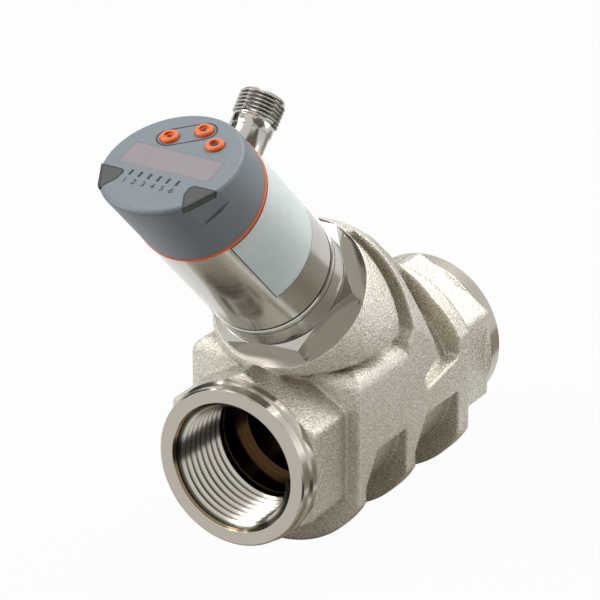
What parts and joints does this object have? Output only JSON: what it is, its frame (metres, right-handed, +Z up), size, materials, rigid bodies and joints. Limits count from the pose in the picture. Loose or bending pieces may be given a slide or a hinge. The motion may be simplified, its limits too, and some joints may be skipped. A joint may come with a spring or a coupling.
{
  "type": "in-line flow sensor",
  "caption": "In-line flow sensor: ribbed brass pipe body with threaded ports and a slanted swivelling round head with display, ring buttons and plug connector.",
  "frame": {"origin": "centre of the outlet port's face", "axes": "+Y along the pipe from the outlet to the inlet, +Z up through the middle plane that holds the slanted branch, +X to the right seen from the outlet"},
  "size_m": [0.049, 0.1414, 0.1252],
  "materials": {
    "nickel_brass": "grainy satin nickel plating over forged brass",
    "stainless": "machined stainless steel",
    "polished_stainless": "polished stainless steel tube",
    "spring_steel": "bare spring steel",
    "nickel_brass_bright": "bright nickel plating",
    "gold_brass": "gold plated contacts",
    "magnet": "sintered magnet ring",
    "seal_rubber": "matte black elastomer",
    "orange_rubber": "matte orange elastomer",
    "orange_plastic": "soft orange plastic",
    "grey_plastic": "matte blue-grey moulded plastic",
    "smoked_window": "smoked red-brown display window",
    "lens_plastic": "dark tinted clear plastic",
    "dark_plastic": "matte black plastic",
    "bush_plastic": "dark bearing plastic",
    "board": "green printed board",
    "label_film": "pale grey-blue film"
  },
  "bodies": {
    "measuring_unit": {"measuring_body": "nickel_brass", "sensor_base": "stainless", "base_seal": "seal_rubber", "guide_tube": "stainless", "sensing_board": "board", "return_spring": "spring_steel", "swivel_seal": "seal_rubber", "retaining_ring": "spring_steel"},
    "piston": {"piston": "stainless", "piston_magnet": "magnet", "magnet_cap": "stainless"},
    "head": {"swivel_bush": "bush_plastic", "housing_tube": "polished_stainless", "seal_ring": "orange_rubber", "display_cap": "grey_plastic", "display_window": "smoked_window", "lens_left": "lens_plastic", "lens_right": "lens_plastic", "indicator_bars": "dark_plastic", "display_module": "dark_plastic", "display_board": "board", "key_switches": "dark_plastic", "main_board": "board", "connector_shell": "nickel_brass_bright", "connector_insert": "dark_plastic", "contact_pins": "gold_brass", "label_plate": "label_film"},
    "button_down": {"button_down": "orange_plastic"},
    "button_up": {"button_up": "orange_plastic"},
    "button_set": {"button_set": "orange_plastic"}
  },
  "joints": [
    {"name": "head_swivel", "type": "hinge", "parent": "measuring_unit", "child": "head", "pos_m": [0, 0.0648, 0], "axis": [0, -0.7071, 0.7071], "range_deg": [-172.5, 172.5]},
    {"name": "piston_lift", "type": "slide", "parent": "measuring_unit", "child": "piston", "axis": [0, -0.7071, 0.7071], "range_m": [0, 0.009], "stiffness_N_per_m": 150, "springref_m": -0.01, "deforming": ["return_spring"]},
    {"name": "button_down_press", "type": "slide", "parent": "head", "child": "button_down", "axis": [0, 0.279, -0.9603], "range_m": [0, 0.0005], "stiffness_N_per_m": 2000, "springref_m": -0.0002},
    {"name": "button_up_press", "type": "slide", "parent": "head", "child": "button_up", "axis": [0, 0.279, -0.9603], "range_m": [0, 0.0005], "stiffness_N_per_m": 2000, "springref_m": -0.0002},
    {"name": "button_set_press", "type": "slide", "parent": "head", "child": "button_set", "axis": [0, 0.279, -0.9603], "range_m": [0, 0.0005], "stiffness_N_per_m": 2000, "springref_m": -0.0002}
  ]
}
